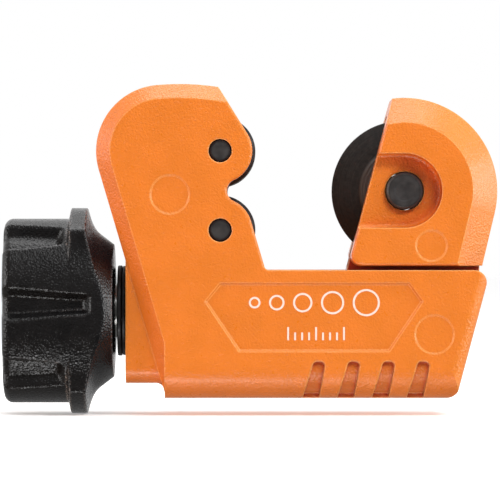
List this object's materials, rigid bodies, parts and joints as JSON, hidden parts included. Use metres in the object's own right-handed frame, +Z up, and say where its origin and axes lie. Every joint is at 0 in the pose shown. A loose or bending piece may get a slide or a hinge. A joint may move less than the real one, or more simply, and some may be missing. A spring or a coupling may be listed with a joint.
{
  "type": "tube cutter",
  "caption": "Compact screw-feed tube cutter: fixed jaw with guide rollers, sliding carriage with a cutting wheel, and a turning knob that feeds the wheel into the tube.",
  "frame": {"origin": "middle of the frame's flat underside, in the mid-plane between the cheeks", "axes": "+X along the feed screw from the knob towards the cutting wheel, +Y from the front cheek to the back cheek, +Z up, from the underside to the mouth"},
  "size_m": [0.0645, 0.0192, 0.0429],
  "materials": {
    "orange_paint": "satin orange powder coat with fine orange peel",
    "black_coating": "glossy black coat with a fine hammered grain",
    "black_oxide": "black oxide, semi-matte",
    "wheel_steel": "dark hardened steel, matte, turned",
    "plated_steel": "zinc plated, lightly oiled"
  },
  "bodies": {
    "frame": {"frame": "orange_paint", "upper_roller_pin": "black_oxide", "lower_roller_pin": "black_oxide"},
    "feed": {"knob": "black_coating", "knob_screw": "black_oxide", "knob_screw_washer": "black_oxide", "feed_screw": "plated_steel", "thrust_washer": "black_oxide", "friction_washer": "black_oxide", "inner_washer": "plated_steel", "retaining_ring": "plated_steel", "end_stop_ring": "plated_steel"},
    "carriage": {"carriage": "orange_paint", "wheel_pin": "black_oxide", "wheel_pin_clip": "black_oxide"},
    "cutting_wheel": {"cutting_wheel": "wheel_steel"},
    "upper_roller": {"upper_roller": "black_oxide"},
    "lower_roller": {"lower_roller": "black_oxide"}
  },
  "joints": [
    {"name": "knob_turn", "type": "hinge", "parent": "frame", "child": "feed", "pos_m": [-0.02, 0, 0.0113], "axis": [1, 0, 0], "range_deg": [-1728, 3600]},
    {"name": "carriage_slide", "type": "slide", "parent": "frame", "child": "carriage", "axis": [1, 0, 0], "range_m": [-0.01005, 0.00485]},
    {"name": "wheel_spin", "type": "hinge", "parent": "carriage", "child": "cutting_wheel", "pos_m": [0.0122, 0, 0.0269], "axis": [0, 1, 0], "continuous": true},
    {"name": "upper_roller_spin", "type": "hinge", "parent": "frame", "child": "upper_roller", "pos_m": [-0.01165, 0, 0.03205], "axis": [0, 1, 0], "continuous": true},
    {"name": "lower_roller_spin", "type": "hinge", "parent": "frame", "child": "lower_roller", "pos_m": [-0.01165, 0, 0.0218], "axis": [0, 1, 0], "continuous": true}
  ],
  "couplings": [
    {"joint": "carriage_slide", "follows": "knob_turn", "m_per_rad": -0.00015915}
  ]
}
